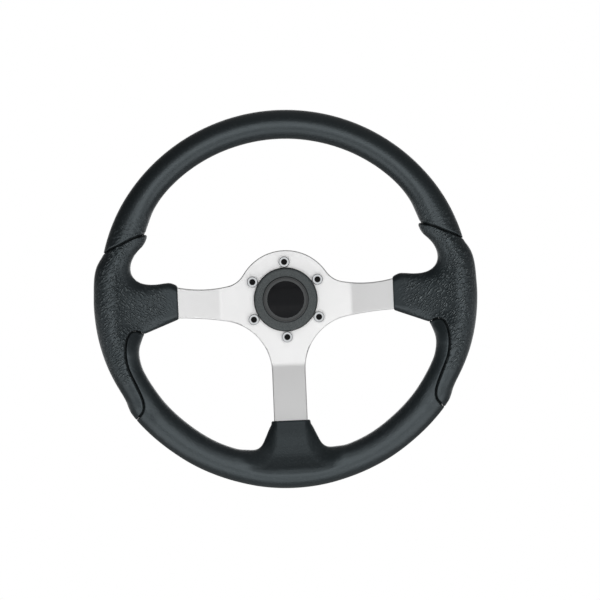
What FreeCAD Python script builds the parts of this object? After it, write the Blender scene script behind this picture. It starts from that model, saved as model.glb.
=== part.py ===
import FreeCAD, Part
import math
import os

import Sketcher
from FreeCAD import Placement, Rotation, Vector

# A dished three-spoke steering wheel for a small boat. An aluminium spoke plate is clamped by six
# screws to a tapered hub adapter. Its three tips are riveted to a steel ring inside the rim, and four
# foam mouldings cover the ring: an upper and a lower cover, and a shaped hand grip on each side.
# X points right as the driver sees the wheel, Z points up, and Y points away from the driver.
# The origin is the centre of the large end of the taper, on the hub adapter's rear face.

# Driving dimensions in millimetres and degrees. A row that starts with an equals sign follows others.
SIZES = [
    ("hub_length", 40.0),
    ("boss_rear_radius", 20.0),
    ("boss_radius", 26.0),
    ("boss_shoulder", 20.0),
    ("boss_root_round", 4.0),
    ("boss_hole_gap", 0.5),
    ("flange_radius", 43.0),
    ("flange_thickness", 8.0),
    ("flange_edge_bevel", 1.0),
    ("flange_hole_gap", 0.1),
    ("taper_mouth_radius", 9.525),
    ("taper_rise_per_length", 24.0),
    ("keyway_width", 4.76),
    ("keyway_depth", 2.4),
    ("nut_recess_radius", 21.0),
    ("nut_recess_depth", 12.0),
    ("pilot_clearance", 0.1),
    ("pilot_setback", 0.5),
    ("plate_thickness", 5.0),
    ("plate_edge_round", 1.1),
    ("hub_disc_radius", 46.0),
    ("plate_bore_radius", 25.0),
    ("bend_distance", 61.0),
    ("bend_radius", 12.0),
    ("spoke_slope", 17.0),
    ("side_spoke_waist", 12.6),
    ("side_spoke_waist_distance", 75.0),
    ("side_spoke_top_curve", 110.0),
    ("hub_corner_curve", 22.0),
    ("side_spoke_underside", 13.0),
    ("side_spoke_underside_distance", 110.0),
    ("side_spoke_underside_curve", 300.0),
    ("crotch_curve", 49.4),
    ("lower_spoke_half_width", 15.6),
    ("side_spoke_neck_setback", 53.0),
    ("lower_spoke_neck_setback", 43.0),
    ("spoke_tip_half_width", 12.0),
    ("spoke_tip_clearance", 1.0),
    ("screw_circle_radius", 35.0),
    ("screw_count", 6.0),
    ("screw_radius", 3.0),
    ("screw_length", 12.5),
    ("screw_head_radius", 5.0),
    ("screw_head_height", 6.0),
    ("screw_socket_width", 5.0),
    ("screw_socket_depth", 3.0),
    ("screw_bevel", 0.5),
    ("screw_clearance", 0.3),
    ("bezel_gap", 0.25),
    ("bezel_radius", "=screw_circle_radius - screw_head_radius - bezel_gap"),
    ("bezel_height", 7.0),
    ("bezel_round", 2.6),
    ("bezel_seat_depth", 5.0),
    ("bezel_ledge", 3.6),
    ("bezel_spigot_length", 9.0),
    ("bezel_spigot_wall", 2.2),
    ("bezel_clearance", 0.15),
    ("cap_lap", 0.1),
    ("cap_radius", "=nut_recess_radius + cap_lap"),
    ("cap_clearance", 0.4),
    ("cap_height", 6.0),
    ("cap_step", 0.55),
    ("cap_step_width", 1.4),
    ("cap_skirt_wall", 1.5),
    ("cap_skirt_reach", 3.2),
    ("cap_snap", 0.7),
    ("cap_ring_width", 3.9),
    ("badge_radius", "=cap_radius - cap_ring_width"),
    ("badge_edge_height", 0.9),
    ("badge_crown", 1.2),
    ("rim_outer_radius", 174.3),
    ("rim_width", 28.3),
    ("rim_inner_radius", "=rim_outer_radius - rim_width"),
    ("rim_depth", 32.0),
    ("rim_least_oval", 0.4),
    ("core_offset", 0.85),
    ("core_radius", "=rim_inner_radius + rim_width / 2 + core_offset"),
    ("core_rod_radius", 4.0),
    ("lug_thickness", 3.0),
    ("lug_half_width", 10.0),
    ("lug_length", 26.0),
    ("rivet_radius", 2.5),
    ("rivet_head_radius", 4.5),
    ("rivet_head_height", 2.0),
    ("rivet_head_gap", 1.0),
    ("rivet_pitch", "=2 * rivet_head_radius + rivet_head_gap"),
    ("rivet_setback", 20.5),
    ("rivet_first_distance", "=core_radius - rivet_setback"),
    ("side_stub_length", 61.0),
    ("side_stub_reach", "=core_radius - side_stub_length"),
    ("lower_stub_length", 48.7),
    ("lower_stub_reach", "=core_radius - lower_stub_length"),
    ("stub_root_depth", 9.0),
    ("stub_end_thickness", 13.5),
    ("stub_end_round", 1.2),
    ("grip_block_margin", 5.0),
]

# The tables below give the foam's form in hundredths of rim_width.

# The rim's outline, one row a station up the right side from the bottom: the angle in degrees, how
# far the inner side stands in from rim_inner_radius, and how far the outer side stands out from
# rim_outer_radius. The hand grip swells round the spoke and tucks in at both of its joints, and
# the inner side stands in where a spoke's foam flows into it.
RIM_STATIONS = [
    (-90, 21.2, 0),
    (-80, 21.2, -0.5),
    (-76, 14.8, -0.7),
    (-73, 9.2, -0.4),
    (-70, 4.6, 0.2),
    (-66, 1.8, 0.7),
    (-60, 0.7, 1.8),
    (-47, 0, 5.7),
    (-38, -1.4, 9.5),
    (-34, -1.4, 9.9),
    (-31, -1.4, 3.5),
    (-28, -1.4, 0.7),
    (-24, -1.4, 3.2),
    (-20, 2.8, 5.7),
    (-17, 8.5, 6.7),
    (-13, 8.5, 7.8),
    (-8, 1.8, 8.8),
    (0, 0, 10.6),
    (8, 0, 13.4),
    (11, -0.4, 12),
    (13.5, -0.4, 6.7),
    (16, -1.1, -1.8),
    (18.5, 4.2, -1.4),
    (21, 14.1, -0.7),
    (24, 21.6, 0),
    (27, 17.7, 0.7),
    (30, 10.6, 1.4),
    (36, -2.1, 2.5),
    (44, -8.1, 3.2),
    (60, -9.2, 3.5),
    (90, -8.8, 3.5),
]

# The foam round each spoke as it flows into the rim: the share of the way from the stub's end to its
# root, how far its edges stand out below and above the sheet's own edges at the stub's end, and half
# its thickness as a share of the rim's half depth.
SIDE_STUB_STATIONS = [
    (0, 2.9, 5.4, None),
    (0.135, 12.1, 15.3, 0.46),
    (0.346, 27.7, 12.8, 0.525),
    (0.519, 41.1, 13.9, 0.59),
    (0.644, 63, 20.2, 0.635),
    (0.721, 98.3, 30.8, 0.665),
    (0.808, 123.1, 61.9, 0.7),
    (0.904, 133.7, 72.5, 0.745),
    (1, 137.2, 76, 0.8),
]
LOWER_STUB_STATIONS = [
    (0, 9.2, 9.2, None),
    (0.101, 9.9, 9.9, 0.44),
    (0.277, 21.2, 21.2, 0.49),
    (0.453, 33.9, 33.9, 0.55),
    (0.554, 44.5, 44.5, 0.59),
    (0.63, 60.8, 60.8, 0.62),
    (0.705, 80.9, 80.9, 0.655),
    (0.831, 93.3, 93.3, 0.72),
    (1, 96.8, 96.8, 0.79),
]

# Where the hand grip meets the two covers: distance out from rim_inner_radius, and angle in degrees
UPPER_JOINT = [
    (-49.5, 31),
    (-8.5, 26.9),
    (42.4, 21.5),
    (88.3, 17.5),
    (100.7, 16.2),
    (159, 13),
]
LOWER_JOINT = [
    (-106, -13.5),
    (-35.7, -10.8),
    (-14.5, -9.3),
    (2.1, -9.8),
    (27.6, -14.3),
    (40.6, -20.8),
    (41.7, -27.9),
    (50.9, -33.6),
    (93.3, -36.2),
    (159, -37),
]

# Allowances for telling edges apart by their place
SAME_PLACE = 0.01
BEND_PLAY = 0.1

# Distances along Y from the hub adapter's rear face towards the driver
PLATE_BACK = "-Sizes.hub_length"
PLATE_FRONT = "(-Sizes.hub_length - Sizes.plate_thickness)"
PLATE_MIDDLE = "(-Sizes.hub_length - Sizes.plate_thickness / 2)"
RIM_MIDDLE = (
    "(-Sizes.hub_length - Sizes.plate_thickness / 2"
    " - (Sizes.core_radius - Sizes.bend_distance) * tan(Sizes.spoke_slope))"
)
SPOKE_TURNS = (0, 90, 180)

doc = FreeCAD.newDocument("steering_wheel")
sheet = doc.addObject("Spreadsheet::Sheet", "Sizes")
for row, (alias, number) in enumerate(SIZES, start=1):
    sheet.set(f"A{row}", alias)
    sheet.set(f"B{row}", str(number))
    sheet.setAlias(f"B{row}", alias)
doc.recompute()


def value(text):
    """The value of an expression in the sheet's names."""
    return float(sheet.evalExpression(text))


def size(alias):
    """The value of one driving dimension."""
    return float(sheet.get(alias))


def add(kind, name, **bound):
    """Adds an object and binds its properties to expressions."""
    made = doc.addObject(kind, name)
    for prop, text in bound.items():
        made.setExpression(prop.replace("__", "."), text)
    return made


def join(kind, name, base, tool):
    """Adds a boolean of two objects."""
    made = doc.addObject(kind, name)
    made.Base = base
    made.Tool = tool
    return made


def body_feature(body, kind, name, profile=None, **bound):
    """Adds a feature to a body and binds its sizes to expressions."""
    made = body.newObject(kind, name)
    if profile:
        made.Profile = profile
    for prop, text in bound.items():
        made.setExpression(prop, text)
    return made


def origin_part(body, role):
    """One of the body's own origin planes or axes."""
    return next(part for part in body.Origin.OriginFeatures if part.Role == role)


def blank_sketch(body, plane, name):
    """An empty sketch on one of the body's origin planes."""
    sketch = body.newObject("Sketcher::SketchObject", name)
    sketch.AttachmentSupport = (origin_part(body, plane), "")
    sketch.MapMode = "FlatFace"
    return sketch


def corner_sketch(body, plane, name, corners):
    """A closed outline whose corners are pairs of expressions."""
    sketch = blank_sketch(body, plane, name)
    points = [Vector(value(across), value(up), 0) for across, up in corners]
    for start, end in zip(points, points[1:] + points[:1]):
        sketch.addGeometry(Part.LineSegment(start, end))
    for index, corner in enumerate(corners):
        following = (index + 1) % len(corners)
        sketch.addConstraint(Sketcher.Constraint("Coincident", index, 2, following, 1))
        for kind, text in zip(("DistanceX", "DistanceY"), corner):
            place = Sketcher.Constraint(kind, -1, 1, index, 1, value(text))
            number = sketch.addConstraint(place)
            sketch.setExpression(f"Constraints[{number}]", text)
    return sketch


def circle_sketch(body, plane, name, across, up, radius):
    """A circle whose centre and radius are expressions."""
    sketch = blank_sketch(body, plane, name)
    centre = Vector(value(across), value(up), 0)
    sketch.addGeometry(Part.Circle(centre, Vector(0, 0, 1), value(radius)))
    rules = [
        (Sketcher.Constraint("DistanceX", -1, 1, 0, 3, centre.x), across),
        (Sketcher.Constraint("DistanceY", -1, 1, 0, 3, centre.y), up),
        (Sketcher.Constraint("Radius", 0, value(radius)), radius),
    ]
    for rule, text in rules:
        number = sketch.addConstraint(rule)
        sketch.setExpression(f"Constraints[{number}]", text)
    return sketch


def turn(body, name, corners):
    """A body turned about the wheel's axis from corners of radius and Y."""
    profile = corner_sketch(body, "XY_Plane", f"{name}_profile", corners)
    turned = body_feature(body, "PartDesign::Revolution", f"{name}_turned", profile)
    turned.ReferenceAxis = (profile, ["V_Axis"])
    turned.Angle = 360
    return turned


def foam_length(hundredths):
    """A length from the foam's tables."""
    return hundredths / 100 * size("rim_width")


def edge_names(shape, wanted):
    """Names of the shape's edges that pass a test."""
    return [f"Edge{n}" for n, edge in enumerate(shape.Edges, start=1) if wanted(edge)]


def is_ring(radius, height):
    """A test for a full circle of a radius at a place along Y."""

    def test(edge):
        curve = edge.Curve
        if not isinstance(curve, Part.Circle):
            return False
        off = abs(curve.Radius - radius) + abs(curve.Center.y - height)
        return off < SAME_PLACE

    return test


def dress(body, kind, name, wanted, prop, text):
    """Rounds or bevels the edges of the body's tip that pass a test."""
    doc.recompute()
    tip = body.Tip
    made = body.newObject(kind, name)
    made.Base = (tip, edge_names(tip.Shape, wanted))
    made.setExpression(prop, text)
    return made


def through_pocket(body, name, sketch):
    """Cuts a sketch through the whole body, both ways."""
    cut = body_feature(body, "PartDesign::Pocket", name, sketch)
    cut.Type = "ThroughAll"
    cut.SideType = "Symmetric"
    return cut


def ring_pattern(body, name, feature, count):
    """Repeats a feature round the wheel's axis."""
    pattern = body.newObject("PartDesign::PolarPattern", name)
    pattern.Originals = [feature]
    pattern.Axis = (origin_part(body, "Y_Axis"), [""])
    pattern.Angle = 360
    pattern.setExpression("Occurrences", count)
    body.Tip = pattern
    return pattern


def finished(label, shape):
    """A finished sub-part whose shape the code above has worked out."""
    made = doc.addObject("Part::Feature", label)
    made.Shape = shape
    made.Placement = Placement()
    return made


# Hub adapter, turned from bar with a tapered bore, a keyway and a recess for the shaft nut
hub_adapter = doc.addObject("PartDesign::Body", "hub_adapter")
TAPER_LENGTH = "(Sizes.hub_length - Sizes.nut_recess_depth)"
TAPER_END = f"Sizes.taper_mouth_radius - {TAPER_LENGTH} / Sizes.taper_rise_per_length"
FLANGE_BACK = "-(Sizes.hub_length - Sizes.flange_thickness)"
PILOT = "(Sizes.plate_bore_radius - Sizes.pilot_clearance)"
PILOT_FACE = f"({PLATE_FRONT} + Sizes.pilot_setback)"
BOSS_TO_HOLES = "(Sizes.screw_circle_radius - Sizes.screw_radius - Sizes.boss_radius)"
HOLES_TO_FLANGE_EDGE = "(Sizes.flange_radius - Sizes.screw_circle_radius - Sizes.screw_radius)"
turn(
    hub_adapter,
    "hub_adapter",
    [
        ("Sizes.taper_mouth_radius", "0"),
        ("Sizes.boss_rear_radius", "0"),
        ("Sizes.boss_radius", "-Sizes.boss_shoulder"),
        ("Sizes.boss_radius", FLANGE_BACK),
        ("Sizes.flange_radius", FLANGE_BACK),
        ("Sizes.flange_radius", PLATE_BACK),
        (PILOT, PLATE_BACK),
        (PILOT, PILOT_FACE),
        ("Sizes.nut_recess_radius", PILOT_FACE),
        ("Sizes.nut_recess_radius", f"-{TAPER_LENGTH}"),
        (TAPER_END, f"-{TAPER_LENGTH}"),
    ],
)
keyway = corner_sketch(
    hub_adapter,
    "XZ_Plane",
    "keyway_outline",
    [
        ("-Sizes.keyway_width / 2", "0"),
        ("Sizes.keyway_width / 2", "0"),
        ("Sizes.keyway_width / 2", "Sizes.taper_mouth_radius + Sizes.keyway_depth"),
        ("-Sizes.keyway_width / 2", "Sizes.taper_mouth_radius + Sizes.keyway_depth"),
    ],
)
through_pocket(hub_adapter, "keyway", keyway)
tapped_hole = circle_sketch(
    hub_adapter,
    "XZ_Plane",
    "tapped_hole_outline",
    "0",
    "Sizes.screw_circle_radius",
    "Sizes.screw_radius",
)
ring_pattern(
    hub_adapter,
    "tapped_holes",
    through_pocket(hub_adapter, "tapped_hole", tapped_hole),
    "Sizes.screw_count",
)
dress(
    hub_adapter,
    "PartDesign::Fillet",
    "boss_root",
    is_ring(size("boss_radius"), value(FLANGE_BACK)),
    "Radius",
    f"min(Sizes.boss_root_round; {BOSS_TO_HOLES} - Sizes.boss_hole_gap)",
)
dress(
    hub_adapter,
    "PartDesign::Chamfer",
    "flange_edge",
    is_ring(size("flange_radius"), value(FLANGE_BACK)),
    "Size",
    f"min(Sizes.flange_edge_bevel; {HOLES_TO_FLANGE_EDGE} - Sizes.flange_hole_gap)",
)


# Spoke plate, cut from sheet to one outline and bent towards the driver across each spoke
def top_arc_centre():
    """The centre of the hollow arc along a side spoke's upper edge."""
    rise = size("side_spoke_waist") + size("side_spoke_top_curve")
    return Vector(size("side_spoke_waist_distance"), rise, 0)


def spoke_top(distance):
    """How high a side spoke's upper edge lies at a distance from the axis."""
    centre = top_arc_centre()
    return centre.y - math.sqrt(size("side_spoke_top_curve") ** 2 - (distance - centre.x) ** 2)


def underside_arc_centre():
    """The centre of the arc along a side spoke's lower edge."""
    drop = size("side_spoke_underside") + size("side_spoke_underside_curve")
    return Vector(size("side_spoke_underside_distance"), -drop, 0)


def spoke_underside(distance):
    """How high a side spoke's lower edge lies at a distance from the axis."""
    centre = underside_arc_centre()
    reach = size("side_spoke_underside_curve")
    return centre.y + math.sqrt(reach**2 - (distance - centre.x) ** 2)


def plate_outline():
    """The front outline: the right half's lines and arcs, then the same mirrored."""
    hub = size("hub_disc_radius")
    corner = size("hub_corner_curve")
    top_curve = size("side_spoke_top_curve")
    top_centre = top_arc_centre()
    reach = top_centre.Length
    bearing = math.atan2(top_centre.y, top_centre.x)
    near = hub + corner
    far = top_curve - corner
    swing = math.acos((near**2 + reach**2 - far**2) / (2 * near * reach))
    corner_centre = near * Vector(math.cos(bearing - swing), math.sin(bearing - swing), 0)
    hub_touch = corner_centre * (hub / near)
    top_touch = top_centre + (corner_centre - top_centre) * (top_curve / far)
    side_neck = value("Sizes.core_radius - Sizes.side_spoke_neck_setback")
    lower_neck = value("Sizes.core_radius - Sizes.lower_spoke_neck_setback")
    neck_top = Vector(side_neck, spoke_top(side_neck), 0)
    tip = value("Sizes.core_radius - Sizes.core_rod_radius - Sizes.spoke_tip_clearance")
    tip_half = size("spoke_tip_half_width")

    under = size("side_spoke_underside_curve")
    crotch = size("crotch_curve")
    lower = size("lower_spoke_half_width")
    under_centre = underside_arc_centre()
    under_top = under_centre + Vector(0, under, 0)
    offset = under_centre.x - lower - crotch
    crotch_rise = math.sqrt((under - crotch) ** 2 - offset**2)
    crotch_centre = Vector(lower + crotch, under_centre.y + crotch_rise, 0)
    under_touch = under_centre + (crotch_centre - under_centre) * (under / (under - crotch))
    lower_touch = Vector(lower, crotch_centre.y, 0)

    def on(centre, radius, start, end):
        middle = (start + end) / 2 - centre
        return Part.Arc(start, centre + middle.normalize() * radius, end)

    crown = Vector(0, hub, 0)
    right = [
        on(Vector(), hub, crown, hub_touch),
        on(corner_centre, corner, hub_touch, top_touch),
        on(top_centre, top_curve, top_touch, neck_top),
        Part.LineSegment(neck_top, Vector(tip, tip_half, 0)),
        Part.LineSegment(Vector(tip, tip_half, 0), Vector(tip, -tip_half, 0)),
        Part.LineSegment(Vector(tip, -tip_half, 0), under_top),
        on(under_centre, under, under_top, under_touch),
        on(crotch_centre, crotch, under_touch, lower_touch),
        Part.LineSegment(lower_touch, Vector(lower, -lower_neck, 0)),
        Part.LineSegment(Vector(lower, -lower_neck, 0), Vector(tip_half, -tip, 0)),
    ]
    lines = [curve.toShape() for curve in right]
    foot = Part.LineSegment(Vector(tip_half, -tip, 0), Vector(-tip_half, -tip, 0))
    mirrored = [line.mirror(Vector(), Vector(1, 0, 0)) for line in lines]
    edges = lines + [foot.toShape()] + mirrored[::-1]
    return [edge.Curve.trim(*edge.ParameterRange) for edge in edges]


front_cut = doc.addObject("PartDesign::Body", "front_cut")
outline = blank_sketch(front_cut, "XZ_Plane", "plate_outline")
for curve in plate_outline():
    outline.addGeometry(curve)
front_pad = body_feature(
    front_cut, "PartDesign::Pad", "front_pad", outline, Length=f"-2 * {RIM_MIDDLE}"
)
centre_hole = circle_sketch(
    front_cut, "XZ_Plane", "centre_hole_outline", "0", "0", "Sizes.plate_bore_radius"
)
through_pocket(front_cut, "centre_hole", centre_hole)
screw_hole = circle_sketch(
    front_cut,
    "XZ_Plane",
    "screw_hole_outline",
    "0",
    "Sizes.screw_circle_radius",
    "Sizes.screw_radius + Sizes.screw_clearance",
)
ring_pattern(
    front_cut,
    "screw_holes",
    through_pocket(front_cut, "screw_hole", screw_hole),
    "Sizes.screw_count",
)

SPOKE_END = "Sizes.core_radius"
SKEW = "(Sizes.plate_thickness * tan(Sizes.spoke_slope / 2))"
UPRIGHT = "(Sizes.plate_thickness / cos(Sizes.spoke_slope))"


def bent_strip(name, turn_angle, inward):
    """Sheet that runs flat to the bend and then slopes towards the driver, along +X when unturned."""
    strip = doc.addObject("PartDesign::Body", name)
    front_bend = f"(Sizes.bend_distance - {SKEW} / 2)"
    back_bend = f"(Sizes.bend_distance + {SKEW} / 2)"
    side = corner_sketch(
        strip,
        "XY_Plane",
        f"{name}_side",
        [
            (inward, PLATE_FRONT),
            (front_bend, PLATE_FRONT),
            (SPOKE_END, f"{RIM_MIDDLE} - {UPRIGHT} / 2"),
            (SPOKE_END, f"{RIM_MIDDLE} + {UPRIGHT} / 2"),
            (back_bend, PLATE_BACK),
            (inward, PLATE_BACK),
        ],
    )
    pad = body_feature(
        strip, "PartDesign::Pad", f"{name}_pad", side, Length="2 * Sizes.hub_disc_radius"
    )
    pad.SideType = "Symmetric"

    def at_bend(distance, place):
        def test(edge):
            box = edge.BoundBox
            along = abs(box.XMin - distance) + abs(box.XMax - distance)
            across = abs(box.YMin - place) + abs(box.YMax - place)
            return along + across < SAME_PLACE

        return test

    dress(
        strip,
        "PartDesign::Fillet",
        f"{name}_inner_bend",
        at_bend(value(front_bend), value(PLATE_FRONT)),
        "Radius",
        "Sizes.bend_radius",
    )
    dress(
        strip,
        "PartDesign::Fillet",
        f"{name}_outer_bend",
        at_bend(value(back_bend), value(PLATE_BACK)),
        "Radius",
        "Sizes.bend_radius + Sizes.plate_thickness",
    )
    strip.Placement = Placement(Vector(), Rotation(Vector(0, 1, 0), turn_angle))
    return strip


strips = [
    bent_strip("right_strip", SPOKE_TURNS[0], "-Sizes.plate_thickness"),
    bent_strip("lower_strip", SPOKE_TURNS[1], "0"),
    bent_strip("left_strip", SPOKE_TURNS[2], "-Sizes.plate_thickness"),
]
bent_sheet = doc.addObject("Part::MultiFuse", "bent_sheet")
bent_sheet.Shapes = strips
bent_sheet.Refine = True
plate_blank = join("Part::Common", "plate_blank", front_cut, bent_sheet)
doc.recompute()


def front_height(place):
    """Where the driver's side of the sheet lies along Y, beside a point of the outline."""
    past_bend = max(0, max(abs(place.x), -place.z) - size("bend_distance"))
    return value(PLATE_FRONT) - past_bend * math.tan(math.radians(size("spoke_slope")))


def is_outline_edge(shape, edge):
    """True for an edge between the driver's side of the sheet and a wall of its outline."""
    middle = edge.valueAt((edge.FirstParameter + edge.LastParameter) / 2)
    bend_sag = size("bend_radius") * (1 / math.cos(math.radians(size("spoke_slope") / 2)) - 1)
    if edge.isClosed() or abs(middle.y - front_height(middle)) > bend_sag + BEND_PLAY:
        return False
    sides = [face for face in shape.Faces if any(edge.isSame(one) for one in face.Edges)]
    turned = [abs(face.normalAt(*face.Surface.parameter(middle)).y) for face in sides]
    return min(turned) < 0.5


plate_edge = doc.addObject("Part::Fillet", "plate_edge")
plate_edge.Base = plate_blank
edge_round = size("plate_edge_round")
plate_edge.Edges = [
    (number, edge_round, edge_round)
    for number, edge in enumerate(plate_blank.Shape.Edges, start=1)
    if is_outline_edge(plate_blank.Shape, edge)
]

# Hub screws: socket head cap screws, one at the top and the rest evenly round
screw = doc.addObject("PartDesign::Body", "screw")
HEAD_SEAT = PLATE_FRONT
turn(
    screw,
    "screw",
    [
        ("0", f"{HEAD_SEAT} - Sizes.screw_head_height"),
        ("Sizes.screw_head_radius", f"{HEAD_SEAT} - Sizes.screw_head_height"),
        ("Sizes.screw_head_radius", HEAD_SEAT),
        ("Sizes.screw_radius", HEAD_SEAT),
        ("Sizes.screw_radius", f"{HEAD_SEAT} + Sizes.screw_length"),
        ("0", f"{HEAD_SEAT} + Sizes.screw_length"),
    ],
)
HEX_CORNER = "Sizes.screw_socket_width / sqrt(3)"
socket = corner_sketch(
    screw,
    "XZ_Plane",
    "socket_outline",
    [
        (f"{HEX_CORNER} * cos({60 * corner})", f"{HEX_CORNER} * sin({60 * corner})")
        for corner in range(6)
    ],
)
socket.AttachmentOffset = Placement(Vector(0, 0, 1), Rotation())
socket.setExpression("AttachmentOffset.Base.z", f"-({HEAD_SEAT}) + Sizes.screw_head_height")
body_feature(screw, "PartDesign::Pocket", "socket", socket, Length="Sizes.screw_socket_depth")
dress(
    screw,
    "PartDesign::Chamfer",
    "head_edge",
    is_ring(size("screw_head_radius"), value(f"{HEAD_SEAT} - Sizes.screw_head_height")),
    "Size",
    "Sizes.screw_bevel",
)
dress(
    screw,
    "PartDesign::Chamfer",
    "screw_point",
    is_ring(size("screw_radius"), value(f"{HEAD_SEAT} + Sizes.screw_length")),
    "Size",
    "Sizes.screw_bevel",
)
doc.recompute()
screw_shapes = []
for place in range(round(size("screw_count"))):
    one_screw = screw.Shape.copy()
    one_screw.translate(Vector(0, 0, size("screw_circle_radius")))
    one_screw.rotate(Vector(), Vector(0, 1, 0), 360 * place / size("screw_count"))
    screw_shapes.append(one_screw)
hub_screws = finished("hub_screws", Part.makeCompound(screw_shapes))

# Cap bezel: a plastic ring that stands on the plate, with a spigot into the nut recess
cap_bezel = doc.addObject("PartDesign::Body", "cap_bezel")
BEZEL_FRONT = f"({PLATE_FRONT} - Sizes.bezel_height)"
CAP_SEAT = f"({BEZEL_FRONT} + Sizes.bezel_seat_depth)"
CAP_WELL = "(Sizes.cap_radius + Sizes.cap_clearance)"
SPIGOT = "(Sizes.nut_recess_radius - Sizes.bezel_clearance)"
turn(
    cap_bezel,
    "cap_bezel",
    [
        ("Sizes.bezel_radius", PLATE_FRONT),
        ("Sizes.bezel_radius", BEZEL_FRONT),
        (CAP_WELL, BEZEL_FRONT),
        (CAP_WELL, CAP_SEAT),
        (f"{CAP_WELL} - Sizes.bezel_ledge", CAP_SEAT),
        (f"{CAP_WELL} - Sizes.bezel_ledge", PLATE_FRONT),
        (f"{SPIGOT} - Sizes.bezel_spigot_wall", PLATE_FRONT),
        (f"{SPIGOT} - Sizes.bezel_spigot_wall", f"{PLATE_FRONT} + Sizes.bezel_spigot_length"),
        (SPIGOT, f"{PLATE_FRONT} + Sizes.bezel_spigot_length"),
        (SPIGOT, PLATE_FRONT),
    ],
)
dress(
    cap_bezel,
    "PartDesign::Fillet",
    "bezel_edge",
    is_ring(size("bezel_radius"), value(BEZEL_FRONT)),
    "Radius",
    "Sizes.bezel_round",
)

# Centre cap: a stepped ring with a well for the badge and a skirt that snaps behind the ledge
centre_cap = doc.addObject("PartDesign::Body", "centre_cap")
CAP_TOP = f"({CAP_SEAT} - Sizes.cap_height)"
BADGE_SEAT = f"({CAP_TOP} + 2 * Sizes.cap_step)"
SKIRT = f"({CAP_WELL} - Sizes.bezel_ledge - Sizes.cap_clearance / 2)"
SKIRT_INSIDE = f"({SKIRT} - Sizes.cap_skirt_wall)"
SKIRT_END = f"({PLATE_FRONT} + Sizes.cap_skirt_reach)"
SNAP_START = f"({PLATE_FRONT} + Sizes.cap_clearance / 2)"
turn(
    centre_cap,
    "centre_cap",
    [
        ("0", BADGE_SEAT),
        ("Sizes.badge_radius", BADGE_SEAT),
        ("Sizes.badge_radius", f"{CAP_TOP} + Sizes.cap_step"),
        ("Sizes.badge_radius + Sizes.cap_step_width", f"{CAP_TOP} + Sizes.cap_step"),
        ("Sizes.badge_radius + Sizes.cap_step_width", CAP_TOP),
        ("Sizes.cap_radius - Sizes.cap_step", CAP_TOP),
        ("Sizes.cap_radius", f"{CAP_TOP} + Sizes.cap_step"),
        ("Sizes.cap_radius", CAP_SEAT),
        (SKIRT, CAP_SEAT),
        (SKIRT, SNAP_START),
        (f"{SKIRT} + Sizes.cap_snap", f"{SNAP_START} + Sizes.cap_snap"),
        (SKIRT, SKIRT_END),
        (SKIRT_INSIDE, SKIRT_END),
        (SKIRT_INSIDE, f"{BADGE_SEAT} + Sizes.cap_skirt_wall"),
        ("0", f"{BADGE_SEAT} + Sizes.cap_skirt_wall"),
    ],
)

# Badge disc: the bare crowned disc that lies in the cap's well
badge_blank = add(
    "Part::Cylinder",
    "badge_blank",
    Radius="Sizes.badge_radius - Sizes.cap_clearance / 4",
    Height="Sizes.badge_edge_height + Sizes.badge_crown",
    Placement__Base__y=BADGE_SEAT,
)
badge_blank.Placement.Rotation = Rotation(Vector(1, 0, 0), 90)
CROWN_RADIUS = "((Sizes.badge_radius ^ 2 + Sizes.badge_crown ^ 2) / (2 * Sizes.badge_crown))"
badge_crown = add(
    "Part::Sphere",
    "badge_crown",
    Radius=CROWN_RADIUS,
    Placement__Base__y=f"{BADGE_SEAT} - Sizes.badge_edge_height - Sizes.badge_crown + {CROWN_RADIUS}",
)
badge_disc = join("Part::Common", "badge_disc", badge_blank, badge_crown)


# Rim core: the steel ring with a flat lug behind each spoke's tip
def along_spoke(shape, spoke_turn):
    """Takes a shape built on a flat right spoke out to its slope and round to one of the spokes."""
    shape.rotate(
        Vector(size("core_radius"), value(RIM_MIDDLE), 0), Vector(0, 0, 1), -size("spoke_slope")
    )
    shape.rotate(Vector(), Vector(0, 1, 0), spoke_turn)
    return shape


RING_WELD_TURN = -90
core_ring = Part.makeTorus(
    size("core_radius"), size("core_rod_radius"), Vector(0, value(RIM_MIDDLE), 0), Vector(0, 1, 0)
)
core_ring.rotate(Vector(), Vector(0, 1, 0), RING_WELD_TURN)
lug_corner = Vector(
    size("core_radius") - size("lug_length"),
    value(f"{RIM_MIDDLE} + Sizes.plate_thickness / 2"),
    -size("lug_half_width"),
)
lugs = [
    along_spoke(
        Part.makeBox(
            size("lug_length"), size("lug_thickness"), 2 * size("lug_half_width"), lug_corner
        ),
        spoke_turn,
    )
    for spoke_turn in SPOKE_TURNS
]

# Spoke rivets: two through each spoke's tip and its lug, with domed heads
GRIP = "(Sizes.plate_thickness + Sizes.lug_thickness)"
RIVETS_PER_SPOKE = 2


def rivet(distance):
    """One rivet at a distance along the flat right spoke."""
    front = value(f"{RIM_MIDDLE} - Sizes.plate_thickness / 2")
    back = front + value(GRIP)
    shank = size("rivet_radius")
    head = size("rivet_head_radius")
    height = size("rivet_head_height")
    dome_radius = (head**2 + height**2) / (2 * height)
    half_swing = math.asin(head / dome_radius) / 2

    def at(across, along):
        return Vector(distance + across, along, 0)

    def dome(foot, way):
        crown = foot + way * height
        shoulder = crown - way * dome_radius * (1 - math.cos(half_swing))
        middle = at(dome_radius * math.sin(half_swing), shoulder)
        return Part.Arc(at(head, foot), middle, at(0, crown)).toShape()

    profile = [
        dome(front, -1),
        Part.makeLine(at(head, front), at(shank, front)),
        Part.makeLine(at(shank, front), at(shank, back)),
        Part.makeLine(at(shank, back), at(head, back)),
        dome(back, 1),
        Part.makeLine(at(0, back + height), at(0, front - height)),
    ]
    face = Part.Face(Part.Wire(Part.__sortEdges__(profile)))
    return face.revolve(at(0, front), Vector(0, 1, 0), 360)


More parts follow.
